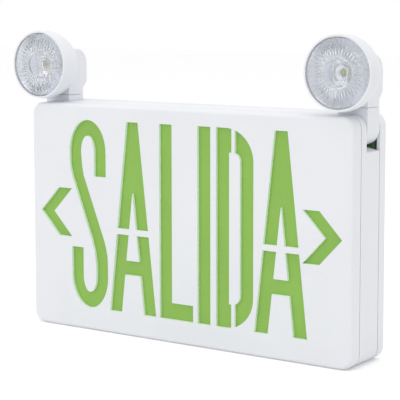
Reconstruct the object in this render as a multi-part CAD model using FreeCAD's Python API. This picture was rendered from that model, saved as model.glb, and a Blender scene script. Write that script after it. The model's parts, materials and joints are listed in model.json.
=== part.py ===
import FreeCAD, Part
import math
import os

# Emergency exit light with two swivelling lamps.  Millimetres.
# X runs to the reader's right, Y runs from the reader to the wall, Z runs up.
# The wall plane is Y = 0 and the middle of the body is X = 0, Z = 0.

V = FreeCAD.Vector

# ---- body ----
WIDTH = 300.0
HEIGHT = 184.0
DEPTH = 48.0
CORNER = 10.0
FRONT_ROUND = 2.6
TOP_DRAFT = 0.9
SIDE_DRAFT = 0.5
WALL = 2.5
FACE = 2.5
SEAM = 0.8
COVER_DEPTH = 10.8
BACK_DEPTH = 8.7
LIP = 3.4
LIP_WALL = 1.6
FIT = 0.25
GAP = 0.3
RUN = 0.06
SEATED = 0.02

FRONT_Y = -DEPTH
COVER_Y = FRONT_Y + COVER_DEPTH
MID_FRONT_Y = COVER_Y + SEAM
BACK_Y = -BACK_DEPTH
MID_BACK_Y = BACK_Y - SEAM
FLOOR_Y = -WALL
TOP = HEIGHT / 2.0
LOW = -HEIGHT / 2.0
SIDE = WIDTH / 2.0

# ---- legend: five plain stencil capitals, an I, and two chevrons ----
CAP = 152.4
ROW = 2.6
BASE = ROW - CAP / 2.0
STROKE = 12.0
BRIDGE = 4.6
CHEVRON_TIP = 9.2

# ---- light box: panel, diffuser, tray and lamp strips ----
PANEL_T = 2.0
DIFFUSER_T = 1.0
TRAY_Y = MID_FRONT_Y + LIP + 0.5
TRAY_T = 1.2
TRAY_BACK = TRAY_Y + TRAY_T
TRAY_EDGE = WALL + FIT + LIP_WALL + 1.0
STRIP_INSET = 42.0
STRIP_HALF = 5.0
STRIP_T = 1.0
STRIP_LEDS = 9
LED_PITCH = 25.0

# ---- lamp arms ----
ARM_HALF = 12.0
PIVOT_X = SIDE - ARM_HALF
PIVOT_Z = TOP - 11.5
ARM_FRONT = FRONT_Y + 19.3
ARM_BACK = MID_BACK_Y - GAP
ARM_TOP = PIVOT_Z + 16.0
WAIST_Y = ARM_BACK - 0.8
SWIVEL_Y = (ARM_FRONT + ARM_BACK) / 2.0
POCKET_GAP = 0.6
POCKET_X = PIVOT_X - ARM_HALF - POCKET_GAP
SLOT_EDGE = ARM_FRONT - GAP
SLOT_SILL = PIVOT_Z - ARM_HALF - 1.9
SLOT_LOW = SLOT_SILL - 2.2
SLOT_SILL_X = PIVOT_X + 2.3
PIN_R = 3.0
PIN_HEAD_R = 4.6
PIN_HEAD_T = 3.0
WASHER_R = 6.1
WASHER_T = 0.8
DISHED_T = 1.5
SINK_R = WASHER_R + 0.5
THREAD_R = 2.5
BOSS_R = 6.0
STUD_R = 5.5
STUD_SNAP_R = 6.4
STUD_SNAP_T = 2.6
STUD_BORE = 3.2
SINK_Y = ARM_BACK - 6.2
STUD_LOW = PIVOT_Z + 9.3

# ---- lamps ----
LAMP_Z = PIVOT_Z + 41.7
RIM_Y = FRONT_Y - 4.6
BALL = 27.8
BALL_Y = RIM_Y + 6.0
BALL_BACK = BALL_Y + 24.0
LENS_R = 25.8
LENS_Y = RIM_Y + 0.4
LENS_T = 1.4
LENS_EYE = 11.0
LENS_HUB = 6.4
FLUTES = 40
FLUTE_SLOPE = 0.04
DISH_FRONT = LENS_Y + LENS_T + 1.8
DISH_DEPTH = 9.0
DISH_T = 1.0
DISH_R = 24.8
DISH_SIDES = 40
DISH_HOLE = 8.8
BOARD_STAR_R = 9.5
STAR_T = 1.6
STAR_Y = RIM_Y + 15.4
SHELF_Y = RIM_Y + 24.0
SINK_HALF = 8.0
KNUCKLE_BACK = -4.5
KNUCKLE_R = 12.3
KNUCKLE_ROUND = 1.5
FOOT_Z = ARM_TOP + GAP
STUD_TOP = FOOT_Z + 8.0
FLARE_LOW = FOOT_Z + 4.0
FLARE_HIGH = FLARE_LOW + 6.0

# ---- screws that join the covers ----
SCREWS = [(118.0, LOW + 6.8), (-118.0, LOW + 6.8), (96.0, TOP - 7.6), (-96.0, TOP - 7.6)]
SCREW_R = 1.5
SCREW_HEAD_R = 3.0
SCREW_BOSS_R = 4.2
SCREW_BITE = 14.0

# ---- fixing, cable inlet, test button and status light ----
BOX_PITCH = 88.9
BOX_HOLE = 2.4
INLET = 11.1
BUSH_BORE = 8.0
BUSH_FLANGE = 12.6
BUTTON_X = -105.0
LIGHT_X = BUTTON_X + 17.0
BUTTON_Y = TRAY_BACK + 9.3
BUTTON_R = 4.0
LIGHT_R = 2.5
TEST_BOARD_Z = LOW + 12.0
TEST_BOARD_HALF = 7.0

# ---- charger board and battery ----
BOARD_T = 1.6
BOARD_Y1 = FLOOR_Y - 3.5
BOARD_Y0 = BOARD_Y1 - BOARD_T
BOARD_X0 = 20.0
BOARD_X1 = SIDE - 5.0
BOARD_Z1 = TOP - 14.0
BOARD_Z0 = BOARD_Z1 - 58.0
BOARD_HOLES = [(BOARD_X0 + 5.0, BOARD_Z1 - 5.0), (BOARD_X0 + 92.0, BOARD_Z0 + 5.0)]
CELL_R = 7.15
CELL_L = 49.0
CELL_X = -82.0
CELL_PITCH = 15.0
CELL_Z = [LOW + 56.0 - CELL_PITCH * i for i in range(3)]
CELL_Y = FLOOR_Y - 0.6 - CELL_R
STRAP_T = 2.0
WIRE_R = 0.9
CORE_X = 24.0
CORE_Z = 20.0
CORE_T = 13.0
CORE_LIFT = 1.6


# ---------------------------------------------------------------- helpers
def cyl(r, a, b):
    """Round bar of radius r from point a to point b."""
    a = V(*a)
    b = V(*b)
    return Part.makeCylinder(r, (b - a).Length, a, b - a)


def tube(outer, inner, a, b):
    """Round bar with a bore through it."""
    return cyl(outer, a, b).cut(cyl(inner, a, b))


def box(x0, x1, y0, y1, z0, z1):
    """Block between two corners."""
    return Part.makeBox(x1 - x0, y1 - y0, z1 - z0, V(x0, y0, z0))


def plate(points, y0, y1):
    """Flat polygon in the X-Z plane carried from y0 to y1."""
    ring = [V(x, y0, z) for x, z in points]
    face = Part.Face(Part.makePolygon(ring + ring[:1]))
    return face.extrude(V(0, y1 - y0, 0))


def side_plate(points, x0, x1):
    """Flat polygon in the Y-Z plane carried from x0 to x1."""
    ring = [V(x0, y, z) for y, z in points]
    face = Part.Face(Part.makePolygon(ring + ring[:1]))
    return face.extrude(V(x1 - x0, 0, 0))


def fuse(shapes):
    """One clean solid from several."""
    out = shapes[0]
    if len(shapes) > 1:
        out = out.multiFuse(shapes[1:])
    return out.removeSplitter()


def cut(shape, tools):
    """The shape with every tool taken away from it."""
    for tool in tools:
        shape = shape.cut(tool)
    return shape


def turned(profile, x, z):
    """Turned form about the line X = x, Z = z; profile holds (radius, y) pairs."""
    ring = [V(x + r, y, z) for r, y in profile]
    face = Part.Face(Part.makePolygon(ring + ring[:1]))
    return face.revolve(V(x, 0, z), V(0, 1, 0), 360)


HULLS = {}


def hull(inset):
    """Whole tapered body drawn in by inset, running a little past both ends."""
    if inset not in HULLS:
        spare = 6.0
        over = 1.0 + spare / DEPTH
        half_f = SIDE - SIDE_DRAFT * over - inset
        half_b = SIDE + SIDE_DRAFT * spare / DEPTH - inset
        top_f = TOP - TOP_DRAFT * over - inset
        top_b = TOP + TOP_DRAFT * spare / DEPTH - inset
        low = LOW + inset
        block = Part.makeWedge(-half_f, FRONT_Y - spare, low, low, -half_b,
                               half_f, spare, top_f, top_b, half_b)
        long_edges = [e for e in block.Edges if e.BoundBox.YLength > DEPTH]
        HULLS[inset] = block.makeFillet(max(CORNER - inset, 1.0), long_edges)
    return HULLS[inset]


def body(y0, y1, inset):
    """Slice of the body between two depths."""
    return hull(inset).common(box(-WIDTH, WIDTH, y0, y1, -HEIGHT, HEIGHT))


# ---------------------------------------------------------------- legend
def half_oval(cx, cz, a, b, s, y0, y1):
    """Half an oval of half-width a and height b; s is 1 upward, -1 downward."""
    mid = V(cx, y0, cz)
    oval = Part.Ellipse(V(cx, y0, cz + b), V(cx + a, y0, cz), mid)
    full = Part.Face(Part.Wire(oval.toShape())).extrude(V(0, y1 - y0, 0))
    z0, z1 = (cz, cz + b + 1) if s > 0 else (cz - b - 1, cz)
    return full.common(box(cx - a - 1, cx + a + 1, y0, y1, z0, z1))


def letter_s(left, y0, y1):
    """Narrow S: two half ovals, two upright ends and a slanting spine."""
    half = 18.5
    oval = 26.0
    hole_oval = 13.2
    hole_half = half - STROKE
    low = BASE + oval
    high = BASE + CAP - oval
    lx = left + half + 1.6
    hx = left + half
    low_end = BASE + 48.6
    high_end = BASE + 107.0
    solids = []
    ring = half_oval(lx, low, half, oval, -1, y0, y1)
    solids.append(ring.cut(half_oval(lx, low, hole_half, hole_oval, -1, y0, y1)))
    ring = half_oval(hx, high, half, oval, 1, y0, y1)
    solids.append(ring.cut(half_oval(hx, high, hole_half, hole_oval, 1, y0, y1)))
    solids.append(box(lx - half, lx - hole_half, y0, y1, low, low_end))
    solids.append(box(hx + hole_half, hx + half, y0, y1, high_end, high))
    spine = [
        (lx + half, low), (lx + half, low + 10), (lx + half - 0.5, low + 18), (lx + half - 2.0, low + 25),
        (lx + half - 4.4, low + 32), (hx - hole_half + 2.5, high - 19), (hx - hole_half + 1.0, high - 11),
        (hx - hole_half, high), (hx - half, high), (hx - half, high - 8), (hx - half + 0.7, high - 14),
        (hx - half + 3.2, high - 22), (lx + hole_half - 4.2, low + 29), (lx + hole_half - 1.6, low + 20),
        (lx + hole_half, low + 8), (lx + hole_half, low),
    ]
    solids.append(plate(spine, y0, y1))
    return [fuse(solids)]


def letter_a(mid, y0, y1):
    """A with level foot ends, split across both legs by a bridge."""
    foot = 22.9
    head = 5.6
    lean = (foot - head) / CAP
    bar_low = BASE + 30.6
    bar_high = BASE + 42.2
    cut_low = BASE + 62.7
    cut_high = cut_low + BRIDGE
    inner = foot - STROKE
    apex = BASE + inner / lean
    big = plate([(mid - foot, BASE), (mid + foot, BASE), (mid + head, BASE + CAP),
                 (mid - head, BASE + CAP)], y0, y1)
    notch = plate([(mid - inner, BASE), (mid + inner, BASE), (mid, apex)], y0, y1)
    bar = notch.common(box(mid - foot, mid + foot, y0, y1, bar_low, bar_high))
    gap = box(mid - foot, mid + foot, y0, y1, cut_low, cut_high)
    return [big.cut(notch).fuse(bar).removeSplitter().cut(gap)]


def letter_l(left, y0, y1):
    stem = box(left, left + STROKE, y0, y1, BASE, BASE + CAP)
    foot = box(left, left + 31.9, y0, y1, BASE, BASE + 13.2)
    return [fuse([stem, foot])]


def letter_i(left, y0, y1):
    return [box(left, left + STROKE, y0, y1, BASE, BASE + CAP)]


def letter_d(left, y0, y1):
    """D as a stem and a bowl with an upright bridge between them."""
    nub = 14.0
    bowl = 16.8
    right = 33.5
    beam = 18.6
    out_r = 25.0
    in_r = 6.5
    whole = box(left, left + right, y0, y1, BASE, BASE + CAP)
    edges = [e for e in whole.Edges if abs(e.BoundBox.XMin - (left + right)) < 0.01
             and e.BoundBox.YLength > 0.5 * (y1 - y0) and e.BoundBox.ZLength < 0.01
             and e.BoundBox.XLength < 0.01]
    whole = whole.makeFillet(out_r, edges)
    eye = box(left + STROKE, left + right - STROKE, y0, y1, BASE + beam, BASE + CAP - beam)
    edges = [e for e in eye.Edges if abs(e.BoundBox.XMin - (left + right - STROKE)) < 0.01
             and e.BoundBox.YLength > 0.5 * (y1 - y0) and e.BoundBox.ZLength < 0.01
             and e.BoundBox.XLength < 0.01]
    eye = eye.makeFillet(in_r, edges)
    bridge = box(left + nub, left + bowl, y0, y1, BASE - 1, BASE + CAP + 1)
    return [whole.cut(eye).cut(bridge)]


def chevron(tip, s, y0, y1):
    """Arrow head; s is 1 when its point looks to the right."""
    rise = 19.8
    run = 18.8
    thick = 14.1
    pts = [(tip, ROW), (tip - s * run, ROW + rise), (tip - s * (run + thick), ROW + rise),
           (tip - s * thick, ROW), (tip - s * (run + thick), ROW - rise), (tip - s * run, ROW - rise)]
    return [plate(pts, y0, y1)]


def legend(y0, y1):
    """All the openings of the stencil, as cutting solids."""
    cuts = letter_s(-110.1, y0, y1)
    cuts += letter_a(-46.75, y0, y1)
    cuts += letter_l(-20.5, y0, y1)
    cuts += letter_i(15.4, y0, y1)
    cuts += letter_d(32.4, y0, y1)
    cuts += letter_a(89.6, y0, y1)
    cuts += chevron(CHEVRON_TIP - SIDE, -1, y0, y1)
    cuts += chevron(SIDE - CHEVRON_TIP, 1, y0, y1)
    return cuts


# ---------------------------------------------------------------- covers
def front_cover():
    """Face plate with its turned-back sides and the lip that enters the housing."""
    lip_end = COVER_Y + SEAM + LIP
    outer = body(FRONT_Y, COVER_Y, 0.0)
    rim = [e for e in outer.Edges if e.BoundBox.YMax < FRONT_Y + 0.01]
    outer = outer.makeFillet(FRONT_ROUND, rim)
    outer = outer.cut(body(FRONT_Y + FACE, COVER_Y + 1.0, WALL))
    lip = body(COVER_Y - 2.0, lip_end, WALL - 0.6 + FIT)
    lip = lip.cut(body(COVER_Y - 3.0, lip_end + 1.0, WALL + FIT + LIP_WALL - 0.6))
    seat = body(COVER_Y, lip_end, 0.0).cut(body(COVER_Y - 1.0, lip_end + 1.0, WALL + FIT))
    shell = fuse([outer, lip.cut(seat)])
    return cut(shell, legend(FRONT_Y - 1.0, FRONT_Y + FACE + 1.0))


def legend_panel():
    """Clear green sheet straight behind the face plate."""
    front = FRONT_Y + FACE
    return body(front, front + PANEL_T, WALL + FIT)


def diffuser():
    """White sheet behind the green one."""
    front = FRONT_Y + FACE + PANEL_T
    return body(front, front + DIFFUSER_T, WALL + FIT)


def pocket(s):
    """Open corner pocket in which an arm turns; s is 1 on the right."""
    outside = SIDE + 5.0
    points = [(s * POCKET_X, SLOT_SILL), (s * SLOT_SILL_X, SLOT_SILL), (s * SIDE, SLOT_LOW),
              (s * outside, SLOT_LOW), (s * outside, HEIGHT), (s * POCKET_X, HEIGHT)]
    return plate(points, SLOT_EDGE, MID_BACK_Y + 1.0)


def pocket_walls(s):
    """Walls that line the corner pocket and the boss of its pivot screw."""
    web = box(POCKET_X - WALL, SIDE, SLOT_EDGE - WALL, MID_BACK_Y, SLOT_LOW - WALL, TOP)
    if s < 0:
        web = web.mirror(V(0, 0, 0), V(1, 0, 0))
    web = web.common(body(MID_FRONT_Y, MID_BACK_Y, WALL / 2.0))
    boss = cyl(BOSS_R, (s * PIVOT_X, TRAY_BACK - 0.2, PIVOT_Z), (s * PIVOT_X, SLOT_EDGE - 1.0, PIVOT_Z))
    return [web.cut(pocket(s)), boss]


def middle_housing():
    """Frame between the covers, with corner pockets, bosses and the button hole."""
    ring = body(MID_FRONT_Y, MID_BACK_Y, 0.0).cut(body(MID_FRONT_Y - 1.0, MID_BACK_Y + 1.0, WALL))
    parts = [ring]
    for s in (1, -1):
        parts += pocket_walls(s)
    for x, z in SCREWS:
        wall_z = TOP - WALL + 0.5 if z > 0 else LOW + WALL - 0.5
        parts.append(cyl(SCREW_BOSS_R, (x, TRAY_BACK, z), (x, MID_BACK_Y, z)))
        parts.append(box(x - 1.2, x + 1.2, TRAY_BACK, MID_BACK_Y, min(z, wall_z), max(z, wall_z)))
    for x in (BUTTON_X - 12.0, LIGHT_X + 9.0):
        parts.append(box(x - 1.5, x + 1.5, BUTTON_Y - TEST_BOARD_HALF, BUTTON_Y + TEST_BOARD_HALF,
                         LOW + 1.0, TEST_BOARD_Z))
    tools = [pocket(1), pocket(-1)]
    for s in (1, -1):
        tools.append(cyl(THREAD_R + 0.05, (s * PIVOT_X, TRAY_BACK + 1.0, PIVOT_Z),
                         (s * PIVOT_X, SLOT_EDGE + 1.0, PIVOT_Z)))
    for x, z in SCREWS:
        tools.append(cyl(SCREW_R + 0.05, (x, MID_BACK_Y - SCREW_BITE - 1.5, z), (x, MID_BACK_Y + 1.0, z)))
    for x, r in ((BUTTON_X, BUTTON_R + GAP), (LIGHT_X, LIGHT_R + SEATED)):
        tools.append(cyl(r, (x, BUTTON_Y, LOW - 1.0), (x, BUTTON_Y, LOW + WALL + 1.0)))
    return cut(fuse(parts), tools)


def lip_tab(x, z, half_x, half_z, out_x, out_z):
    """Locating tab of the back cover: a root on its wall and a tongue into the housing."""
    tongue = box(x - half_x, x + half_x, BACK_Y - SEAM - LIP, BACK_Y + 2.0, z - half_z, z + half_z)
    root = box(x - half_x, x + half_x, BACK_Y, BACK_Y + 2.0, z - half_z, z + half_z)
    root.translate(V(out_x * (FIT + 0.5), 0, out_z * (FIT + 0.5)))
    return fuse([tongue, root])


def cover_tabs():
    """Tabs along the four sides of the back cover, clear of pockets and screws."""
    half = LIP_WALL / 2.0
    reach = WALL + FIT + half
    taper = BACK_DEPTH / DEPTH
    top = TOP - TOP_DRAFT * taper - reach
    side = SIDE - SIDE_DRAFT * taper - reach
    tabs = []
    for x in (-60.0, 0.0, 60.0):
        tabs.append(lip_tab(x, top, 14.0, half, 0, 1))
        tabs.append(lip_tab(x, LOW + reach, 14.0, half, 0, -1))
    for s in (1, -1):
        tabs.append(lip_tab(s * side, -35.0, half, 14.0, s, 0))
        tabs.append(lip_tab(s * side, 30.0, half, 14.0, s, 0))
    return tabs


def back_cover():
    """Tray that goes against the wall, with its fixing holes and cable inlet."""
    outer = body(BACK_Y, 0.0, 0.0).cut(body(BACK_Y - 1.0, FLOOR_Y, WALL))
    parts = [outer] + cover_tabs()
    root = FLOOR_Y + 1.0
    for x, z in SCREWS:
        parts.append(cyl(SCREW_BOSS_R, (x, MID_BACK_Y, z), (x, root, z)))
    for x, z in BOARD_HOLES:
        parts.append(cyl(3.0, (x, BOARD_Y1, z), (x, root, z)))
    for x in (CELL_X + 4.0, CELL_X + CELL_L - 6.0):
        parts.append(box(x, x + 2.0, CELL_Y, root, CELL_Z[-1] - 6.0, CELL_Z[0] + 6.0))
    tools = []
    for x, z in SCREWS:
        tools.append(cyl(SCREW_HEAD_R + 0.4, (x, -4.0, z), (x, 1.0, z)))
        tools.append(cyl(SCREW_R + 0.3, (x, MID_BACK_Y - 1.0, z), (x, 1.0, z)))
    for x, z in BOARD_HOLES:
        tools.append(cyl(1.3, (x, BOARD_Y1 - 1.0, z), (x, FLOOR_Y, z)))
    for x, r in ((BOX_PITCH / 2.0, BOX_HOLE), (-BOX_PITCH / 2.0, BOX_HOLE), (0.0, INLET)):
        tools.append(cyl(r, (x, FLOOR_Y - 1.0, 0), (x, 1.0, 0)))
    for z in CELL_Z:
        tools.append(cyl(CELL_R + SEATED, (CELL_X - 1.0, CELL_Y, z), (CELL_X + CELL_L + 1.0, CELL_Y, z)))
    return cut(fuse(parts), tools)


# ---------------------------------------------------------------- light box
def light_tray():
    """White tray behind the sign lamps; its top corners clear the arm pockets."""
    x = SIDE - SIDE_DRAFT - TRAY_EDGE
    z0 = LOW + TRAY_EDGE
    z1 = TOP - TOP_DRAFT - TRAY_EDGE
    step_x = POCKET_X - 5.4
    step_z = SLOT_LOW - WALL - 2.0
    points = [(-x, z0), (x, z0), (x, step_z), (step_x, step_z), (step_x, z1), (-step_x, z1),
              (-step_x, step_z), (-x, step_z)]
    return plate(points, TRAY_Y, TRAY_BACK)


def strip_height(k):
    """Height of lamp strip k: 1 is the upper, -1 the lower."""
    return k * (TOP - STRIP_INSET)


def led_strip(k):
    """Narrow circuit board across the tray."""
    z = strip_height(k)
    half = (STRIP_LEDS - 1) * LED_PITCH / 2.0 + 10.0
    return box(-half, half, TRAY_Y - STRIP_T, TRAY_Y, z - STRIP_HALF, z + STRIP_HALF)


def strip_leds(k):
    """Row of small lamps on a strip."""
    z = strip_height(k)
    y1 = TRAY_Y - STRIP_T
    lamps = []
    for i in range(STRIP_LEDS):
        x = (i - (STRIP_LEDS - 1) / 2.0) * LED_PITCH
        lamps.append(box(x - 1.75, x + 1.75, y1 - 1.6, y1, z - 1.4, z + 1.4))
    return Part.makeCompound(lamps)


# ---------------------------------------------------------------- arms
def arm(s):
    """Block arm: round end in the corner pocket, waisted neck under the lamp."""
    x = s * PIVOT_X
    disc = cyl(ARM_HALF, (x, ARM_FRONT, PIVOT_Z), (x, ARM_BACK, PIVOT_Z))
    side = [(ARM_FRONT, PIVOT_Z), (ARM_BACK, PIVOT_Z), (ARM_BACK, ARM_TOP - 6.5), (WAIST_Y, ARM_TOP - 1.5),
            (WAIST_Y, ARM_TOP), (ARM_FRONT, ARM_TOP)]
    post = side_plate(side, x - ARM_HALF, x + ARM_HALF)
    tools = [
        cyl(PIN_R + RUN, (x, ARM_FRONT - 1.0, PIVOT_Z), (x, ARM_BACK + 1.0, PIVOT_Z)),
        cyl(SINK_R, (x, SINK_Y, PIVOT_Z), (x, ARM_BACK + 1.0, PIVOT_Z)),
        cyl(STUD_SNAP_R + 0.6, (x, SWIVEL_Y, STUD_LOW - 1.2), (x, SWIVEL_Y, STUD_LOW + STUD_SNAP_T + 0.4)),
        cyl(STUD_R + RUN, (x, SWIVEL_Y, STUD_LOW), (x, SWIVEL_Y, ARM_TOP + 1.0)),
    ]
    return cut(fuse([disc, post]), tools)


def pivot_screws():
    """Shoulder screws of both arms: thread in the boss, plain shank, slotted head."""
    screws = []
    head_y = SINK_Y + GAP + WASHER_T + DISHED_T
    for s in (1, -1):
        x = s * PIVOT_X
        thread = cyl(THREAD_R, (x, TRAY_BACK + 1.4, PIVOT_Z), (x, SLOT_EDGE, PIVOT_Z))
        shank = cyl(PIN_R, (x, SLOT_EDGE, PIVOT_Z), (x, head_y, PIVOT_Z))
        head = cyl(PIN_HEAD_R, (x, head_y, PIVOT_Z), (x, head_y + PIN_HEAD_T, PIVOT_Z))
        slot = box(x - PIN_HEAD_R, x + PIN_HEAD_R, head_y + PIN_HEAD_T - 1.2, ARM_BACK,
                   PIVOT_Z - 0.6, PIVOT_Z + 0.6)
        screws.append(fuse([thread, shank, head]).cut(slot))
    return Part.makeCompound(screws)


def friction_washers():
    """A flat washer and a dished spring washer under each screw head."""
    washers = []
    bore = PIN_R + 0.1
    y0 = SINK_Y + GAP
    y1 = y0 + WASHER_T
    for s in (1, -1):
        x = s * PIVOT_X
        washers.append(tube(WASHER_R, bore, (x, y0, PIVOT_Z), (x, y1, PIVOT_Z)))
        y2 = y1 + DISHED_T
        dish = [(bore, y1), (WASHER_R, y2 - WASHER_T), (WASHER_R, y2), (bore, y1 + WASHER_T)]
        washers.append(turned(dish, x, PIVOT_Z))
    return Part.makeCompound(washers)


def swivel_stud(s):
    """Hollow stud under a lamp; its split end snaps into the arm's chamber."""
    x = s * PIVOT_X
    barrel = cyl(STUD_R, (x, SWIVEL_Y, STUD_LOW), (x, SWIVEL_Y, STUD_TOP))
    snap = cyl(STUD_SNAP_R, (x, SWIVEL_Y, STUD_LOW), (x, SWIVEL_Y, STUD_LOW + STUD_SNAP_T))
    bore = cyl(STUD_BORE, (x, SWIVEL_Y, STUD_LOW - 1.0), (x, SWIVEL_Y, STUD_TOP + 1.0))
    split = box(x - 0.6, x + 0.6, SWIVEL_Y - 7.0, SWIVEL_Y + 7.0, STUD_LOW - 1.0, STUD_LOW + 5.5)
    return cut(fuse([barrel, snap]), [bore, split])


# ---------------------------------------------------------------- lamps
def ball():
    """The lamp's ball, cut flat at its rim and at its back."""
    first = math.asin((RIM_Y - BALL_Y) / BALL)
    last = math.asin((BALL_BACK - BALL_Y) / BALL)
    start, middle, end = [V(BALL * math.cos(a), BALL_Y + BALL * math.sin(a), LAMP_Z)
                          for a in (first, (first + last) / 2.0, last)]
    rim = V(0, RIM_Y, LAMP_Z)
    back = V(0, BALL_BACK, LAMP_Z)
    outline = [Part.makeLine(rim, start), Part.Arc(start, middle, end).toShape(),
               Part.makeLine(end, back), Part.makeLine(back, rim)]
    return Part.Face(Part.Wire(outline)).revolve(rim, V(0, 1, 0), 360)


def knuckle():
    """Flat-sided block behind the ball: flared above its foot, round on top."""
    x = -ARM_HALF
    centre_y = KNUCKLE_BACK - KNUCKLE_R
    lean = KNUCKLE_R * math.sqrt(0.5)
    crown = LAMP_Z + KNUCKLE_R
    side = [(ARM_FRONT, FOOT_Z), (WAIST_Y, FOOT_Z), (WAIST_Y, FLARE_LOW), (KNUCKLE_BACK, FLARE_HIGH),
            (KNUCKLE_BACK, LAMP_Z)]
    points = [V(x, y, z) for y, z in side]
    edges = [Part.makeLine(a, b) for a, b in zip(points[:-1], points[1:])]
    top = V(x, centre_y, crown)
    front = V(x, ARM_FRONT, crown)
    edges.append(Part.Arc(points[-1], V(x, centre_y + lean, LAMP_Z + lean), top).toShape())
    edges.append(Part.makeLine(top, front))
    edges.append(Part.makeLine(front, points[0]))
    block = Part.Face(Part.Wire(edges)).extrude(V(2 * ARM_HALF, 0, 0))
    flat = [e for e in block.Edges if e.BoundBox.XLength < 0.01]
    rear = [e for e in flat if e.BoundBox.YMin > WAIST_Y - 0.01 and e.BoundBox.ZMin > FLARE_LOW - 0.1]
    crest = [e for e in flat if e.BoundBox.YMin <= WAIST_Y - 0.01 and e.BoundBox.ZMin > LAMP_Z]
    return block.makeFillet(KNUCKLE_ROUND, rear + crest)


def lamp_shell(s):
    """Ball-shaped lamp body with its square knuckle, hollow in front."""
    ledge = LENS_Y + LENS_T
    seat = LENS_R + 0.05
    hollow = LENS_R - 0.8
    narrow = hollow - 6.8
    cavity = [(0.0, RIM_Y - 1.0), (seat, RIM_Y - 1.0), (seat, ledge), (hollow, ledge),
              (hollow, BALL_Y + 5.5), (narrow, SHELF_Y), (0.0, SHELF_Y)]
    wire_z = STUD_TOP + 2.6
    tools = [
        turned(cavity, 0.0, LAMP_Z),
        cyl(STUD_R + SEATED, (0, SWIVEL_Y, FOOT_Z - 1.0), (0, SWIVEL_Y, STUD_TOP)),
        cyl(STUD_BORE, (0, SWIVEL_Y, STUD_TOP - 1.0), (0, SWIVEL_Y, wire_z)),
        cyl(2.4, (0, SWIVEL_Y, wire_z), (0, SHELF_Y - 1.0, wire_z)),
    ]
    shell = cut(fuse([ball(), knuckle()]), tools)
    shell.translate(V(s * PIVOT_X, 0, 0))
    return shell


def flutes(x):
    """Roof of radial ridges that all run to one point on the lamp's axis."""
    radius = LENS_R - 1.2
    base_y = LENS_Y + LENS_T / 2.0
    roof_y = LENS_Y + LENS_T
    apex = V(x, roof_y, LAMP_Z)
    low = []
    high = []
    for i in range(2 * FLUTES):
        a = math.pi * i / FLUTES
        rise = FLUTE_SLOPE * radius * (1.0 if i % 2 else 0.25)
        low.append(V(x + radius * math.cos(a), base_y, LAMP_Z + radius * math.sin(a)))
        high.append(V(x + radius * math.cos(a), roof_y + rise, LAMP_Z + radius * math.sin(a)))
    faces = [Part.Face(Part.makePolygon(low + low[:1]))]
    for i in range(2 * FLUTES):
        j = (i + 1) % (2 * FLUTES)
        faces.append(Part.Face(Part.makePolygon([low[i], low[j], high[j], low[i]])))
        faces.append(Part.Face(Part.makePolygon([low[i], high[j], high[i], low[i]])))
        faces.append(Part.Face(Part.makePolygon([high[i], high[j], apex, high[i]])))
    return Part.Solid(Part.Shell(faces))


def lens(s):
    """Clear cover: flat rim, radial flutes inside and a hollow cone over the lamp."""
    x = s * PIVOT_X
    y0 = LENS_Y
    y1 = LENS_Y + LENS_T
    hub_end = y0 + 11.5
    disc = turned([(0.0, y0 + 1.0), (LENS_EYE - 1.8, y0 + 1.0), (LENS_EYE - 1.8, y0 - 0.9),
                   (LENS_EYE, y0 - 0.9), (LENS_EYE, y0), (LENS_R, y0), (LENS_R, y1), (0.0, y1)], x, LAMP_Z)
    hub = turned([(0.0, y0 + 1.2), (LENS_EYE, y0 + 1.2), (LENS_EYE, y1 + 0.6), (LENS_HUB, hub_end),
                  (0.0, hub_end)], x, LAMP_Z)
    hollow = cyl(LENS_HUB - 2.9, (x, y0 + 5.2, LAMP_Z), (x, hub_end + 1.0, LAMP_Z))
    return fuse([disc, flutes(x), hub]).cut(hollow)


def many_sided_cone(wide, y0, narrow, y1, x):
    """Straight-sided cone with flat facets, from radius wide at y0 to narrow at y1."""
    rings = []
    for radius, y in ((wide, y0), (narrow, y1)):
        angles = [2.0 * math.pi * i / DISH_SIDES for i in range(DISH_SIDES)]
        rings.append([V(x + radius * math.cos(a), y, LAMP_Z + radius * math.sin(a)) for a in angles])
    front, back = rings
    faces = [Part.Face(Part.makePolygon(ring + ring[:1])) for ring in rings]
    for i in range(DISH_SIDES):
        j = (i + 1) % DISH_SIDES
        faces.append(Part.Face(Part.makePolygon([front[i], front[j], back[j], back[i], front[i]])))
    return Part.Solid(Part.Shell(faces))


def reflector(s):
    """Bright faceted dish behind the flutes."""
    x = s * PIVOT_X
    slope = (DISH_R - DISH_HOLE) / DISH_DEPTH
    y0 = DISH_FRONT
    y1 = DISH_FRONT + DISH_DEPTH
    outside = many_sided_cone(DISH_R, y0, DISH_HOLE, y1, x)
    inside = many_sided_cone(DISH_R - DISH_T + slope, y0 - 1.0, DISH_HOLE - DISH_T - slope, y1 + 1.0, x)
    return outside.cut(inside)


def heat_sink(s):
    """Square aluminium block with upright fins, seated on the lamp's floor."""
    x = s * PIVOT_X
    front = STAR_Y + STAR_T
    block = box(x - SINK_HALF, x + SINK_HALF, front, SHELF_Y, LAMP_Z - SINK_HALF, LAMP_Z + SINK_HALF)
    slots = []
    for k in (-1, 0, 1):
        mid = x + k * SINK_HALF / 2.0
        slots.append(box(mid - 1.2, mid + 1.2, front + 3.0, SHELF_Y + 1.0,
                         LAMP_Z - SINK_HALF - 1.0, LAMP_Z + SINK_HALF + 1.0))
    return cut(block, slots)


def led_board(s):
    """Six-sided metal-core board."""
    x = s * PIVOT_X
    corners = []
    for i in range(6):
        a = math.pi * i / 3.0
        corners.append((x + BOARD_STAR_R * math.cos(a), LAMP_Z + BOARD_STAR_R * math.sin(a)))
    return plate(corners, STAR_Y, STAR_Y + STAR_T)


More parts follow.
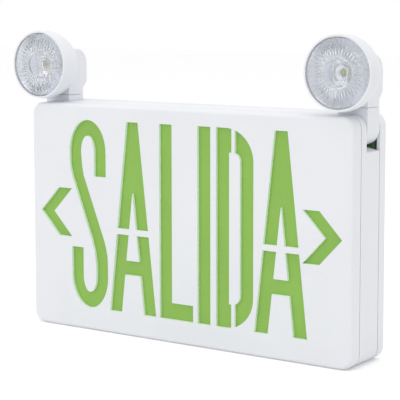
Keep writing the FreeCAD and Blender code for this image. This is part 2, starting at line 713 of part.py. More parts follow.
def led_emitter(s):
    """Square lamp chip with its round bright window."""
    x = s * PIVOT_X
    base = box(x - 2.4, x + 2.4, STAR_Y - 1.0, STAR_Y, LAMP_Z - 2.4, LAMP_Z + 2.4)
    window = cyl(1.9, (x, STAR_Y - 1.4, LAMP_Z), (x, STAR_Y - 0.5, LAMP_Z))
    return fuse([base, window])


# ---------------------------------------------------------------- battery and its leads
def battery_cells():
    """Three round cells side by side."""
    return Part.makeCompound([cyl(CELL_R, (CELL_X, CELL_Y, z), (CELL_X + CELL_L, CELL_Y, z)) for z in CELL_Z])


def battery_strap():
    """Moulded strap over the cells, its feet on the floor of the tray."""
    x0 = CELL_X + 18.0
    top = CELL_Y - CELL_R - 0.2
    foot = FLOOR_Y - STRAP_T
    z0 = CELL_Z[-1] - CELL_R - 0.4
    z1 = CELL_Z[0] + CELL_R + 0.4
    points = [(FLOOR_Y, z0 - 10.0), (FLOOR_Y, z0), (top, z0), (top, z1), (FLOOR_Y, z1), (FLOOR_Y, z1 + 10.0),
              (foot, z1 + 10.0), (foot, z1 + STRAP_T), (top - STRAP_T, z1 + STRAP_T),
              (top - STRAP_T, z0 - STRAP_T), (foot, z0 - STRAP_T), (foot, z0 - 10.0)]
    return side_plate(points, x0, x0 + 12.0)


def strap_screws():
    """Heads of the two screws on the strap's feet."""
    x = CELL_X + 24.0
    foot = FLOOR_Y - STRAP_T
    middles = (CELL_Z[-1] - CELL_R - 6.4, CELL_Z[0] + CELL_R + 6.4)
    return Part.makeCompound([cyl(2.8, (x, foot - 2.0, z), (x, foot, z)) for z in middles])


def battery_lead(k):
    """Lead k of the battery: along the tray floor, then up to its socket."""
    start_z = CELL_Z[0] if k == 0 else CELL_Z[-1]
    end_z = BOARD_Z0 + (8.6 if k == 0 else 6.4)
    run_x = BOARD_X0 + 4.0 * k
    raised = BOARD_Y0 - 5.0
    route = [(CELL_X + CELL_L, CELL_Y, start_z), (run_x, CELL_Y, start_z), (run_x, CELL_Y, BOARD_Z0 - 10.0),
             (run_x, raised, BOARD_Z0 - 6.0), (run_x, raised, end_z), (BOARD_X0 + 12.0, raised, end_z)]
    corners = [V(*p) for p in route]
    section = Part.Wire(Part.makeCircle(WIRE_R, corners[0], corners[1] - corners[0]))
    return Part.makePolygon(corners).makePipeShell([section], True, False, 1)


# ---------------------------------------------------------------- charger board
def on_board(x, z):
    """Place on the board, from its lower left corner."""
    return BOARD_X0 + x, BOARD_Z0 + z


def board_block(x, z, width, tall, height):
    """Block that stands on the board's front face."""
    x0, z0 = on_board(x, z)
    return box(x0, x0 + width, BOARD_Y0 - height, BOARD_Y0, z0, z0 + tall)


def charger_board():
    """Circuit board on two posts; its upper right corner shows in the arm's pocket."""
    plain = box(BOARD_X0, BOARD_X1, BOARD_Y0, BOARD_Y1, BOARD_Z0, BOARD_Z1)
    holes = [cyl(1.6, (x, BOARD_Y0 - 1.0, z), (x, BOARD_Y1 + 1.0, z)) for x, z in BOARD_HOLES]
    return cut(plain, holes)


def transformer_core():
    """Laminated core: a window frame with a middle leg."""
    x0, z0 = on_board(CORE_X, CORE_Z)
    y1 = BOARD_Y0 - CORE_LIFT
    y0 = y1 - CORE_T
    frame = box(x0, x0 + 36.0, y0, y1, z0, z0 + 30.0)
    for x in (x0 + 6.0, x0 + 23.0):
        frame = frame.cut(box(x, x + 7.0, y0 - 1.0, y1 + 1.0, z0 + 6.0, z0 + 24.0))
    return frame


def transformer_coil():
    """Winding on its bobbin, round the middle leg, with feet down to the board."""
    x0, z0 = on_board(CORE_X, CORE_Z)
    y1 = BOARD_Y0 - CORE_LIFT
    y0 = y1 - CORE_T
    coil = box(x0 + 6.3, x0 + 29.7, y0 - CORE_LIFT, BOARD_Y0, z0 + 6.3, z0 + 23.7)
    leg = box(x0 + 12.9, x0 + 23.1, y0 - 0.1, y1 + 0.1, z0, z0 + 30.0)
    return coil.cut(leg)


def board_capacitors():
    """Two round capacitors on end."""
    cans = []
    for dx, dz, r, height in ((72.0, 15.0, 5.0, 13.0), (76.0, 34.0, 6.0, 15.0)):
        x, z = on_board(dx, dz)
        cans.append(cyl(r, (x, BOARD_Y0 - height, z), (x, BOARD_Y0, z)))
    return Part.makeCompound(cans)


def relay():
    """Plain relay case."""
    return board_block(64.0, 44.0, 16.0, 11.0, 12.0)


def board_sockets():
    """Open-topped plug sockets along the board's lower edge."""
    sockets = []
    for x, width in ((12.0, 8.0), (28.0, 12.0), (46.0, 12.0)):
        shell = board_block(x, 4.0, width, 7.0, 8.0)
        well = board_block(x + 1.0, 5.0, width - 2.0, 5.0, 9.0)
        sockets.append(shell.cut(well.cut(board_block(x, 4.0, width, 7.0, 3.0))))
    return Part.makeCompound(sockets)


def board_screws():
    """Two screws through the board into their posts."""
    screws = []
    for x, z in BOARD_HOLES:
        head = cyl(2.8, (x, BOARD_Y0 - 1.8, z), (x, BOARD_Y0, z))
        shank = cyl(1.25, (x, BOARD_Y0 - 0.5, z), (x, BOARD_Y0 + 4.6, z))
        screws.append(fuse([head, shank]))
    return Part.makeCompound(screws)


# ---------------------------------------------------------------- screws, inlet, button, light
def cover_screws():
    """Four long screws entered from the wall side, heads sunk in the back cover."""
    screws = []
    head_y = -4.0
    for x, z in SCREWS:
        head = cyl(SCREW_HEAD_R, (x, head_y, z), (x, head_y + 2.4, z))
        slot = box(x - SCREW_HEAD_R, x + SCREW_HEAD_R, head_y + 1.5, -1.0, z - 0.4, z + 0.4)
        shank = cyl(SCREW_R, (x, MID_BACK_Y - SCREW_BITE, z), (x, head_y + 0.5, z))
        screws.append(fuse([head, shank]).cut(slot))
    return Part.makeCompound(screws)


def cable_bushing():
    """Rubber bushing in the cable inlet, flush with the wall face."""
    inner = FLOOR_Y - 2.7
    return turned([(BUSH_BORE, inner), (BUSH_FLANGE, inner), (BUSH_FLANGE, FLOOR_Y), (INLET, FLOOR_Y),
                   (INLET, -0.2), (BUSH_BORE, -0.2)], 0.0, 0.0)


def test_button():
    """Round button below the housing: cap, retaining flange and stem."""
    x, y = BUTTON_X, BUTTON_Y
    inside = LOW + WALL
    cap = cyl(BUTTON_R, (x, y, LOW + GAP), (x, y, inside + 1.2))
    flange = cyl(BUTTON_R + 1.4, (x, y, inside + GAP), (x, y, inside + 1.5))
    stem = cyl(1.7, (x, y, inside + 1.0), (x, y, TEST_BOARD_Z - 3.6))
    return fuse([cap, flange, stem])


def test_switch():
    """Square switch whose well takes the button's stem."""
    x, y = BUTTON_X, BUTTON_Y
    case = box(x - 4.0, x + 4.0, y - 4.0, y + 4.0, TEST_BOARD_Z - 4.6, TEST_BOARD_Z)
    return case.cut(cyl(2.0, (x, y, TEST_BOARD_Z - 5.0), (x, y, TEST_BOARD_Z - 1.2)))


def test_board():
    """Small board that carries the switch and the status lamp."""
    return box(BUTTON_X - 14.0, LIGHT_X + 11.0, BUTTON_Y - TEST_BOARD_HALF, BUTTON_Y + TEST_BOARD_HALF,
               TEST_BOARD_Z, TEST_BOARD_Z + 1.6)


def status_light():
    """Light pipe: flush round window below, wider head above the wall."""
    x, y = LIGHT_X, BUTTON_Y
    pin = cyl(LIGHT_R, (x, y, LOW + 0.2), (x, y, LOW + WALL + 1.0))
    head = cyl(LIGHT_R + 0.8, (x, y, LOW + WALL), (x, y, TEST_BOARD_Z - 2.4))
    return fuse([pin, head])


def status_led():
    """Small lamp over the light pipe."""
    x, y = LIGHT_X, BUTTON_Y
    return cyl(1.5, (x, y, TEST_BOARD_Z - 2.0), (x, y, TEST_BOARD_Z))


# ---------------------------------------------------------------- export
NODES = {
    "front_cover": front_cover,
    "legend_panel": legend_panel,
    "diffuser_sheet": diffuser,
    "light_tray": light_tray,
    "upper_led_strip": lambda: led_strip(1),
    "lower_led_strip": lambda: led_strip(-1),
    "upper_strip_leds": lambda: strip_leds(1),
    "lower_strip_leds": lambda: strip_leds(-1),
    "middle_housing": middle_housing,
    "back_cover": back_cover,
    "battery_cells": battery_cells,
    "battery_strap": battery_strap,
    "battery_strap_screws": strap_screws,
    "battery_lead_red": lambda: battery_lead(0),
    "battery_lead_black": lambda: battery_lead(1),
    "charger_board": charger_board,
    "transformer_core": transformer_core,
    "transformer_coil": transformer_coil,
    "board_capacitors": board_capacitors,
    "relay": relay,
    "board_sockets": board_sockets,
    "board_screws": board_screws,
    "cover_screws": cover_screws,
    "cable_bushing": cable_bushing,
    "test_button": test_button,
    "test_switch": test_switch,
    "test_board": test_board,
    "status_light_pipe": status_light,
    "status_led": status_led,
    "pivot_screws": pivot_screws,
    "friction_washers": friction_washers,
}

LAMP_PARTS = {
    "arm": arm,
    "swivel_stud": swivel_stud,
    "lamp_shell": lamp_shell,
    "lens": lens,
    "reflector": reflector,
    "heat_sink": heat_sink,
    "led_board": led_board,
    "led_emitter": led_emitter,
}

for hand, s in (("left", -1), ("right", 1)):
    for part_name, make in LAMP_PARTS.items():
        NODES[hand + "_" + part_name] = lambda make=make, s=s: make(s)

os.makedirs("parts", exist_ok=True)
for name, make in NODES.items():
    shape = make()
    shape.exportStep("parts/" + name + ".step")
    print(name, shape.ShapeType, len(shape.Solids), shape.isValid(), round(shape.Volume))
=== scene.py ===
import json
import math

import bmesh
import bpy
from mathutils import Matrix, Vector


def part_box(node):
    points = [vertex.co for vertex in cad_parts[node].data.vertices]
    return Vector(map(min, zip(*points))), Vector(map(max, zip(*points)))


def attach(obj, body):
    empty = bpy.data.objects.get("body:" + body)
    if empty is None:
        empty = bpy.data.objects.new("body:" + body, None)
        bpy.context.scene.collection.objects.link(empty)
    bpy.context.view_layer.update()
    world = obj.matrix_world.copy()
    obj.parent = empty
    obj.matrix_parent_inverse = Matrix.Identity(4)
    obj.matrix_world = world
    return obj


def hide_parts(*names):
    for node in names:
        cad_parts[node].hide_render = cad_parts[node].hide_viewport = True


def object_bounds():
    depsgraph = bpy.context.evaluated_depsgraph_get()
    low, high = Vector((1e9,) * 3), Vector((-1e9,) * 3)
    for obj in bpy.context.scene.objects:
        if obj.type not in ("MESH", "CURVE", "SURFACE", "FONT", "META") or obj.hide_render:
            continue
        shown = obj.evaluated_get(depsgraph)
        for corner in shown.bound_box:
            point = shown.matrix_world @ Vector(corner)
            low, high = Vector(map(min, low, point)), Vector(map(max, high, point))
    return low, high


# Looks of the emergency exit light: materials for its CAD pieces, floor, light and camera.
# Metres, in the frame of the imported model: X right, Y to the wall, Z up.

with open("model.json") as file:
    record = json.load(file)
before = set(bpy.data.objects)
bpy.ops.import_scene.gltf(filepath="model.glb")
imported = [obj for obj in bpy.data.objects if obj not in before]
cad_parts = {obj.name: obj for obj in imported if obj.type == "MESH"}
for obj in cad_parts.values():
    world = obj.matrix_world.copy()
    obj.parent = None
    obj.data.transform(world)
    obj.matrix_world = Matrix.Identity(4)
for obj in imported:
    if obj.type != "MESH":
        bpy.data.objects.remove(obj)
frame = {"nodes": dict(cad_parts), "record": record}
cad_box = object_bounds()
nodes = frame["nodes"]

# ---- small lengths, in metres ----
MM = 0.001
MICRON = 0.000001

# ---- camera ----
# Yaw turns from the wall's normal to the left, pitch downwards, roll about the line of sight.
SENSOR_WIDTH = 36.0
FOCAL_LENGTH = 126.9
FARTHEST = 50.0
CAMERA_PLACE = Vector((0.6192, -0.9257, 0.1692))
CAMERA_YAW = math.radians(34.54)
CAMERA_PITCH = math.radians(5.82)
CAMERA_ROLL = math.radians(-0.096)
SHIFT_X = 0.008
SHIFT_Y = -0.125

# ---- studio ----
FLOOR_SIZE = 12.0
FLOOR_GAP = 0.0002
FLOOR_COLOUR = (0.90, 0.90, 0.90)
FLOOR_GLOW = 0.20
WORLD_LEVEL = 0.84
KEY_PLACE = Vector((-0.9, -1.8, 1.3))
KEY_SIZE = 1.6
KEY_POWER = 6.4
TOP_PLACE = Vector((0.3, -0.2, 1.8))
TOP_SIZE = 1.4
TOP_POWER = 7.8

# ---- colours ----
PANEL_GREEN = (0.262, 0.492, 0.082)
# the dish's plating, and the dark bands of painted reflection on it
DISH_LIGHT = (0.95, 0.96, 0.99)
DISH_PAINTED_REFLECTION_DARK = (0.82, 0.85, 0.91)
PHOSPHOR = (0.86, 0.82, 0.16)
# painted light: the pale green that the sheet's light would cast on the walls of the legend, in place of
# their shade
WALL_PAINTED_GREEN_LIGHT = (0.88, 1.0, 0.90)

# ---- moulded plastics: colour, roughness, scale and height in microns of the grain, unevenness of tone ----
PLASTICS = {
    "white_body": ((0.812, 0.826, 0.862), 0.42, 2600.0, 20.0, 0.015),
    "diffuser": ((0.86, 0.87, 0.86), 0.5, 1200.0, 20.0, 0.015),
    "led_board_white": ((0.80, 0.80, 0.78), 0.38, 900.0, 20.0, 0.015),
    "led_chip": ((0.84, 0.80, 0.45), 0.3, 3000.0, 20.0, 0.06),
    "battery_can": ((0.09, 0.27, 0.19), 0.3, 300.0, 40.0, 0.05),
    "grey_plastic": ((0.34, 0.35, 0.37), 0.5, 1500.0, 20.0, 0.04),
    "coil_tape": ((0.74, 0.56, 0.15), 0.35, 400.0, 50.0, 0.06),
    "capacitor_sleeve": ((0.05, 0.07, 0.17), 0.25, 600.0, 20.0, 0.06),
    "relay_case": ((0.03, 0.03, 0.035), 0.35, 1800.0, 20.0, 0.1),
    "socket_plastic": ((0.79, 0.78, 0.72), 0.45, 1500.0, 20.0, 0.03),
    "bushing_rubber": ((0.03, 0.03, 0.03), 0.7, 1200.0, 40.0, 0.1),
    "lead_red": ((0.55, 0.03, 0.02), 0.4, 900.0, 20.0, 0.06),
    "lead_black": ((0.02, 0.02, 0.02), 0.4, 900.0, 20.0, 0.1),
    "button_red": ((0.55, 0.04, 0.03), 0.3, 2000.0, 20.0, 0.04),
}

# ---- metals: colour, roughness, stretch of the noise into fine lines ----
METALS = {
    "steel": ((0.62, 0.63, 0.65), 0.32, (1.0, 1.0, 30.0)),
    "core_steel": ((0.13, 0.13, 0.14), 0.5, (1.0, 60.0, 1.0)),
    "reflector_metal": (DISH_LIGHT, 0.16, (1.0, 1.0, 30.0)),
    "aluminium": ((0.72, 0.72, 0.73), 0.35, (40.0, 1.0, 1.0)),
}

# ---- walls of the legend: faces of the cover that look sideways, clear of its rim, painted with green light ----
WALL_FACING = 0.5
WALL_MARGIN = 0.006

# ---- lamp fronts, in millimetres, depths counted back from the lens's flat front ----
FLUTES = 40
FLUTE_STEPS = 8
FLUTE_DEPTH = 0.87
FLUTE_OUT = 24.4
FLUTE_IN = 11.2
FLUTE_LEAN = 1.4
LENS_R = 25.8
LENS_T = 1.4
BEAD_MIDDLE = 10.2
BEAD_R = 0.8
BEAD_FRONT = -0.9
BOWL_R = 8.8
BOWL_RIM = 0.75
BOWL_FLOOR = 2.6
HUB_WIDE = 10.8
HUB_FRONT = 1.9
HUB_NARROW = 6.4
HUB_BACK = 11.5
HOLLOW_R = 3.5
HOLLOW_RIM = 10.7
HOLLOW_FLOOR = 9.7
DISH_R = 24.95
DISH_HOLE = 4.2
DISH_RIM = 1.5
DISH_FLOOR = 13.6
DISH_T = 0.6
DISH_WAVE = 0.15
SHARP_EDGE = math.radians(50.0)


# ---------------------------------------------------------------- node helpers
class Shader:
    """One Principled material and short calls for the nodes that feed it.

    The starting colour and roughness count where no node is linked over them.
    """

    def __init__(self, name, colour, roughness, **fixed):
        self.material = bpy.data.materials.new(name)
        self.material.use_nodes = True
        self.tree = self.material.node_tree
        self.bsdf = self.tree.nodes["Principled BSDF"]
        self.bsdf.inputs["Base Color"].default_value = (*colour, 1.0)
        self.bsdf.inputs["Roughness"].default_value = roughness
        for socket, value in fixed.items():
            self.bsdf.inputs[socket.replace("_", " ")].default_value = value
        self.place = self.node("ShaderNodeTexCoord").outputs["Object"]

    def node(self, kind, **settings):
        """New node with its settings."""
        made = self.tree.nodes.new(kind)
        for key, value in settings.items():
            setattr(made, key, value)
        return made

    def link(self, source, target):
        """Join an output to an input."""
        self.tree.links.new(source, target)

    def noise(self, scale, detail=2.0, rough=0.5, stretch=None):
        """Soft noise over the object's own place, stretched where asked."""
        texture = self.node("ShaderNodeTexNoise")
        texture.inputs["Scale"].default_value = scale
        texture.inputs["Detail"].default_value = detail
        texture.inputs["Roughness"].default_value = rough
        source = self.place
        if stretch:
            mapping = self.node("ShaderNodeMapping")
            mapping.inputs["Scale"].default_value = stretch
            self.link(self.place, mapping.inputs["Vector"])
            source = mapping.outputs["Vector"]
        self.link(source, texture.inputs["Vector"])
        return texture.outputs["Fac"]

    def span(self, value, low, high, start=0.3, end=0.7):
        """The value from start to end becomes low to high."""
        ranged = self.node("ShaderNodeMapRange")
        for socket, number in (("From Min", start), ("From Max", end), ("To Min", low), ("To Max", high)):
            ranged.inputs[socket].default_value = number
        self.link(value, ranged.inputs["Value"])
        return ranged.outputs["Result"]

    def math(self, operation, *values):
        """One step of arithmetic on sockets or numbers."""
        step = self.node("ShaderNodeMath", operation=operation)
        for socket, value in zip(step.inputs, values):
            if isinstance(value, float):
                socket.default_value = value
            else:
                self.link(value, socket)
        return step.outputs[0]

    def blend(self, factor, first, second):
        """Two colours mixed by a factor, as the base colour."""
        mix = self.node("ShaderNodeMix", data_type="RGBA")
        self.link(factor, mix.inputs["Factor"])
        mix.inputs["A"].default_value = (*first, 1.0)
        mix.inputs["B"].default_value = (*second, 1.0)
        self.link(mix.outputs["Result"], self.bsdf.inputs["Base Color"])

    def parts(self, vector):
        """The X, Y and Z of a vector."""
        split = self.node("ShaderNodeSeparateXYZ")
        self.link(vector, split.inputs[0])
        return split.outputs

    def within(self, value, limit):
        """One where the value is nearer to nought than the limit, else nought."""
        return self.math("LESS_THAN", self.math("ABSOLUTE", value), limit)

    def bump(self, height, strength, microns):
        """Fine relief of a height in microns."""
        step = self.node("ShaderNodeBump")
        step.inputs["Strength"].default_value = strength
        step.inputs["Distance"].default_value = microns * MICRON
        self.link(height, step.inputs["Height"])
        self.link(step.outputs["Normal"], self.bsdf.inputs["Normal"])

    def shine(self, value):
        """Roughness from a socket."""
        self.link(value, self.bsdf.inputs["Roughness"])


def shade(colour, factor):
    """The colour made lighter or darker."""
    return tuple(min(1.0, c * factor) for c in colour)


# ---------------------------------------------------------------- materials
def moulded(name, colour, roughness, grain, microns, variety):
    """Moulded plastic: fine spark grain, slightly uneven colour and shine."""
    s = Shader(name, colour, roughness)
    s.blend(s.span(s.noise(14.0, 3.0), 0.0, 1.0), shade(colour, 1.0 - variety), shade(colour, 1.0 + variety))
    s.shine(s.span(s.noise(90.0, 2.0), roughness - 0.04, roughness + 0.05))
    s.bump(s.noise(grain, 2.0, 0.6), 0.25, microns)
    return s


def cover_plastic():
    """The body's white plastic, with painted green light from the sheet on the walls of the legend."""
    s = moulded("cover_white", *PLASTICS["white_body"])
    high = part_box("front_cover")[1]
    place = s.parts(s.place)
    facing = s.parts(s.node("ShaderNodeNewGeometry").outputs["True Normal"])
    wall = s.within(facing["Y"], WALL_FACING)
    wall = s.math("MULTIPLY", wall, s.within(place["X"], high.x - WALL_MARGIN))
    wall = s.math("MULTIPLY", wall, s.within(place["Z"], high.z - WALL_MARGIN))
    base = s.bsdf.inputs["Base Color"]
    mix = s.node("ShaderNodeMix", data_type="RGBA")
    s.link(wall, mix.inputs["Factor"])
    s.link(base.links[0].from_socket, mix.inputs["A"])
    # Painted light: the walls take a pale mint for the sheet's green light falling on them, lighter than
    # their shade.
    mix.inputs["B"].default_value = (*WALL_PAINTED_GREEN_LIGHT, 1.0)
    s.link(mix.outputs["Result"], base)
    return s


def green_sheet():
    """Translucent green sheet: smooth front, faint cloudiness."""
    s = Shader("green_panel", PANEL_GREEN, 0.34, Specular_IOR_Level=0.4)
    s.blend(s.span(s.noise(26.0, 3.0), 0.0, 1.0), shade(PANEL_GREEN, 0.965), shade(PANEL_GREEN, 1.03))
    s.shine(s.span(s.noise(160.0, 2.0), 0.30, 0.38))
    s.bump(s.noise(700.0, 2.0), 0.08, 20.0)
    return s


def painted_reflection_plating(name, middle):
    """Bright plating of a dish, with painted reflections: light and dark bands that run out from its axis.
    """
    s = Shader(name, DISH_LIGHT, 0.30, Metallic=1.0)
    place = s.parts(s.place)
    across = s.math("SUBTRACT", place["X"], middle.x)
    up = s.math("SUBTRACT", place["Z"], middle.z)
    angle = s.math("ARCTAN2", up, across)
    wave = s.math("SINE", s.math("MULTIPLY", angle, float(FLUTES)))
    uneven = s.math("MULTIPLY", s.math("SUBTRACT", s.noise(22.0, 1.0), 0.5), 1.2)
    # Painted reflection: the dark bands stand for the dark reflections of the flutes, not for a colour of
    # the plating.
    s.blend(s.span(s.math("ADD", wave, uneven), 0.0, 1.0, -0.9, 1.1), DISH_PAINTED_REFLECTION_DARK, DISH_LIGHT)
    s.shine(s.span(s.noise(60.0), 0.26, 0.34))
    s.bump(s.noise(80.0, 1.0), 0.02, 20.0)
    return s


def metal(name, colour, roughness, stretch):
    """Plain metal with fine lines along one way."""
    s = Shader(name, colour, roughness, Metallic=1.0)
    s.blend(s.span(s.noise(40.0, 3.0), 0.0, 1.0), shade(colour, 0.92), shade(colour, 1.05))
    s.shine(s.span(s.noise(900.0, 2.0, 0.5, stretch), roughness - 0.08, roughness + 0.10))
    s.bump(s.noise(1500.0, 2.0, 0.5, stretch), 0.15, 20.0)
    return s


def clear_plastic():
    """Clear polycarbonate with the least ripple and haze from its mould."""
    s = Shader("clear_plastic", (0.96, 0.97, 1.0), 0.03, IOR=1.49, Transmission_Weight=0.90)
    s.blend(s.span(s.noise(40.0), 0.0, 1.0), (0.95, 0.96, 0.99), (0.97, 0.98, 1.0))
    s.shine(s.span(s.noise(200.0), 0.02, 0.05))
    s.bump(s.noise(40.0, 1.0), 0.02, 30.0)
    return s


def circuit_board():
    """Green solder mask with paler tracks under it."""
    s = Shader("circuit_board", (0.03, 0.13, 0.05), 0.35)
    tracks = s.node("ShaderNodeTexBrick")
    tracks.inputs["Scale"].default_value = 220.0
    tracks.inputs["Mortar Size"].default_value = 0.05
    for socket, colour in (("Color1", (0.055, 0.130, 0.050)), ("Color2", (0.065, 0.145, 0.058)),
                           ("Mortar", (0.10, 0.24, 0.10))):
        tracks.inputs[socket].default_value = (*colour, 1.0)
    turn = s.node("ShaderNodeMapping")
    turn.inputs["Rotation"].default_value = (math.radians(90.0), 0.0, 0.0)
    s.link(s.place, turn.inputs["Vector"])
    s.link(turn.outputs["Vector"], tracks.inputs["Vector"])
    s.link(tracks.outputs["Color"], s.bsdf.inputs["Base Color"])
    s.bump(tracks.outputs["Fac"], 0.3, 30.0)
    s.shine(s.span(s.noise(200.0), 0.28, 0.42))
    return s


def phosphor():
    """Yellow phosphor grains under silicone."""
    s = Shader("led_phosphor", PHOSPHOR, 0.3, Coat_Weight=0.6, Coat_Roughness=0.05)
    s.blend(s.span(s.noise(3500.0, 2.0), 0.0, 1.0), shade(PHOSPHOR, 0.82), shade(PHOSPHOR, 1.08))
    s.bump(s.noise(3500.0, 2.0), 0.2, 30.0)
    return s


def make_materials():
    """One material for each slot of the record."""
    finishes = {slot: moulded(slot, *look) for slot, look in PLASTICS.items()}
    finishes.update({slot: metal(slot, *look) for slot, look in METALS.items()})
    finishes["green_panel"] = green_sheet()
    finishes["led_phosphor"] = phosphor()
    finishes["circuit_board"] = circuit_board()
    finishes["clear_plastic"] = clear_plastic()
    return {slot: finish.material for slot, finish in finishes.items()}


def dress(materials):
    """Every CAD piece gets the material of its slot."""
    for part in frame["record"]["subparts"]:
        mesh = nodes[part["node"]].data
        mesh.materials.clear()
        mesh.materials.append(materials[part["material_slot"]])
    nodes["front_cover"].data.materials[0] = cover_plastic().material


# ---------------------------------------------------------------- lamp fronts
# An outline is a list of points, each with its radius, its depth and the depth of the flutes there.
def steps(first, last, count):
    """Even steps from first to last, both counted."""
    return [first + (last - first) * i / (count - 1) for i in range(count)]


def parabola(radius, middle, rim):
    """Depth at each radius of a dish that is middle deep on the axis and rim deep at radius."""
    return lambda r: middle + (rim - middle) * (r / radius) ** 2


def fluting(radius, depth):
    """Depth of the flutes at a radius: fading out towards the rim and the hub."""
    share = (FLUTE_OUT - radius) / (FLUTE_OUT - FLUTE_IN)
    return depth * math.sin(math.pi * min(max(share, 0.0), 1.0) ** FLUTE_LEAN)


def arc(middle, depth, radius, start, end, count):
    """Points of an arc in an outline, angles in degrees from outwards to forwards."""
    turns = [math.radians(a) for a in steps(start, end, count)]
    return [(middle + radius * math.cos(a), depth - radius * math.sin(a), 0.0) for a in turns]


def lens_outline():
    """Half section of the lens, from its front middle over its rim to its back middle."""
    bowl = parabola(BOWL_R, BOWL_FLOOR, BOWL_RIM)
    hollow = parabola(HOLLOW_R, HOLLOW_FLOOR, HOLLOW_RIM)
    outline = [(r, bowl(r), 0.0) for r in steps(0.0, BOWL_R, 6)]
    outline += arc(BEAD_MIDDLE, BEAD_FRONT + BEAD_R, BEAD_R, 180.0, 0.0, 8)
    outline += [(r, 0.0, 0.0) for r in steps(FLUTE_IN, LENS_R - LENS_T, 4)]
    outline += arc(LENS_R - LENS_T / 2.0, LENS_T / 2.0, LENS_T / 2.0, 90.0, -90.0, 9)
    outline += [(r, LENS_T, fluting(r, FLUTE_DEPTH)) for r in steps(FLUTE_OUT, FLUTE_IN, 12)]
    outline += [(HUB_WIDE, HUB_FRONT, 0.0), (HUB_NARROW, HUB_BACK, 0.0), (HOLLOW_R, HUB_BACK, 0.0)]
    outline += [(r, hollow(r), 0.0) for r in steps(HOLLOW_R, 0.0, 5)]
    return outline


def dish_outline():
    """Closed section of the dish: out along its bright front, back along its plain rear."""
    depth = parabola(DISH_R, DISH_FLOOR, DISH_RIM)
    front = [(r, depth(r), fluting(r, DISH_WAVE)) for r in steps(DISH_R, DISH_HOLE, 18)]
    rear = [(r, depth(r) + DISH_T, 0.0) for r in steps(DISH_HOLE, DISH_R, 9)]
    return front + rear


def turned_piece(name, outline, middle, front, closed):
    """Turned form about the lamp's axis, waved round its axis where the outline says so."""
    count = FLUTES * FLUTE_STEPS
    maker = bmesh.new()
    rings = []
    for radius, depth, wave in outline:
        ring = []
        for i in range(count if radius > 0.0 else 1):
            angle = 2.0 * math.pi * i / count
            rise = wave * (0.5 + 0.5 * math.cos(FLUTES * angle))
            place = (middle.x + radius * MM * math.cos(angle), front + (depth + rise) * MM,
                     middle.z + radius * MM * math.sin(angle))
            ring.append(maker.verts.new(place))
        rings.append(ring)
    pairs = list(zip(rings, rings[1:]))
    if closed:
        pairs.append((rings[-1], rings[0]))
    for first, second in pairs:
        for i in range(count):
            j = (i + 1) % count
            corners = [first[i % len(first)], first[j % len(first)], second[j % len(second)],
                       second[i % len(second)]]
            maker.faces.new(list(dict.fromkeys(corners)))
    bmesh.ops.recalc_face_normals(maker, faces=maker.faces)
    mesh = bpy.data.meshes.new(name)
    maker.to_mesh(mesh)
    maker.free()
    mesh.shade_smooth()
    mesh.set_sharp_from_angle(angle=SHARP_EDGE)
    piece = bpy.data.objects.new(name, mesh)
    bpy.context.scene.collection.objects.link(piece)
    return piece


def fit_in_lamp(piece, material, node, side):
    """The piece stands for a node of the lamp and moves with the lamp."""
    piece.data.materials.append(material)
    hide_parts(node)
    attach(piece, side + "_lamp")


def lamp_front(side, materials):
    """Fluted clear cover and bright fluted dish in place of the plain ones."""
    low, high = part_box(side + "_lens")
    middle = (low + high) / 2.0
    front = low.y - BEAD_FRONT * MM
    lens = turned_piece(side + "_fluted_lens", lens_outline(), middle, front, False)
    fit_in_lamp(lens, materials["clear_plastic"], side + "_lens", side)
    dish = turned_piece(side + "_fluted_dish", dish_outline(), middle, front, True)
    plating = painted_reflection_plating("plated_" + side, middle).material
    fit_in_lamp(dish, plating, side + "_reflector", side)


# ---------------------------------------------------------------- floor, light, camera
def seen_directly(tree):
    """One for camera, glossy and clear rays, else nought."""
    rays = tree.nodes.new("ShaderNodeLightPath")
    seen = rays.outputs["Is Camera Ray"]
    for other in ("Is Glossy Ray", "Is Transmission Ray"):
        either = tree.nodes.new("ShaderNodeMath")
        either.operation = "MAXIMUM"
        tree.links.new(seen, either.inputs[0])
        tree.links.new(rays.outputs[other], either.inputs[1])
        seen = either.outputs[0]
    return seen


def make_floor():
    """Plain pale floor at the foot of the object."""
    height = cad_box[0].z - FLOOR_GAP
    half = FLOOR_SIZE / 2.0
    mesh = bpy.data.meshes.new("floor")
    corners = [(-half, -half, height), (half, -half, height), (half, half, height), (-half, half, height)]
    mesh.from_pydata(corners, [], [(0, 1, 2, 3)])
    floor = bpy.data.objects.new("floor", mesh)
    bpy.context.scene.collection.objects.link(floor)
    s = Shader("floor_white", FLOOR_COLOUR, 0.7)
    s.blend(s.span(s.noise(5.0), 0.0, 1.0), shade(FLOOR_COLOUR, 0.995), shade(FLOOR_COLOUR, 1.005))
    s.bsdf.inputs["Emission Color"].default_value = (1.0, 1.0, 1.0, 1.0)
    s.link(s.math("MULTIPLY", seen_directly(s.tree), FLOOR_GLOW), s.bsdf.inputs["Emission Strength"])
    mesh.materials.append(s.material)


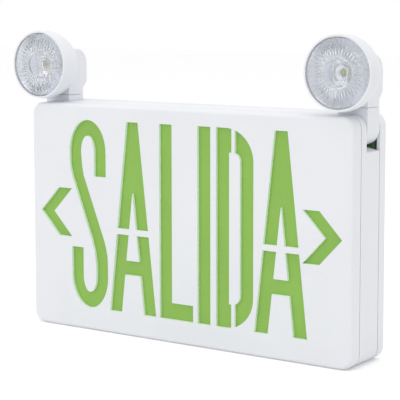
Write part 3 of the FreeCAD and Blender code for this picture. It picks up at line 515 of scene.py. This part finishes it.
def make_world():
    """Even white room; the camera, glossy and clear rays see it as plain white."""
    world = bpy.data.worlds.new("studio")
    bpy.context.scene.world = world
    world.use_nodes = True
    tree = world.node_tree
    background = tree.nodes["Background"]
    level = tree.nodes.new("ShaderNodeMapRange")
    level.inputs["To Min"].default_value = WORLD_LEVEL
    level.inputs["To Max"].default_value = 1.0
    tree.links.new(seen_directly(tree), level.inputs["Value"])
    tree.links.new(level.outputs["Result"], background.inputs["Strength"])
    background.inputs["Color"].default_value = (1.0, 1.0, 1.0, 1.0)


def soft_lamp(name, place, size, power):
    """Square area lamp turned to the frame's origin."""
    data = bpy.data.lights.new(name, "AREA")
    data.size = size
    data.energy = power
    lamp = bpy.data.objects.new(name, data)
    lamp.location = place
    lamp.rotation_euler = (-place).to_track_quat("-Z", "Y").to_euler()
    bpy.context.scene.collection.objects.link(lamp)


def make_camera():
    """The camera at the height, side and distance from which the object is seen."""
    forward = Vector((-math.sin(CAMERA_YAW) * math.cos(CAMERA_PITCH),
                      math.cos(CAMERA_YAW) * math.cos(CAMERA_PITCH), -math.sin(CAMERA_PITCH)))
    level = Vector((math.cos(CAMERA_YAW), math.sin(CAMERA_YAW), 0.0))
    upright = level.cross(forward)
    right = level * math.cos(CAMERA_ROLL) + upright * math.sin(CAMERA_ROLL)
    up = upright * math.cos(CAMERA_ROLL) - level * math.sin(CAMERA_ROLL)
    data = bpy.data.cameras.new("camera")
    data.sensor_width = SENSOR_WIDTH
    data.lens = FOCAL_LENGTH
    data.shift_x = SHIFT_X
    data.shift_y = SHIFT_Y
    data.clip_end = FARTHEST
    camera = bpy.data.objects.new("camera", data)
    turn = Matrix((right, up, -forward)).transposed().to_4x4()
    camera.matrix_world = Matrix.Translation(CAMERA_PLACE) @ turn
    bpy.context.scene.collection.objects.link(camera)
    bpy.context.scene.camera = camera


# ---------------------------------------------------------------- the scene
slot_materials = make_materials()
dress(slot_materials)
for hand in ("left", "right"):
    lamp_front(hand, slot_materials)
make_floor()
make_world()
soft_lamp("key", KEY_PLACE, KEY_SIZE, KEY_POWER)
soft_lamp("overhead", TOP_PLACE, TOP_SIZE, TOP_POWER)
make_camera()
bpy.context.scene.view_settings.view_transform = "Standard"
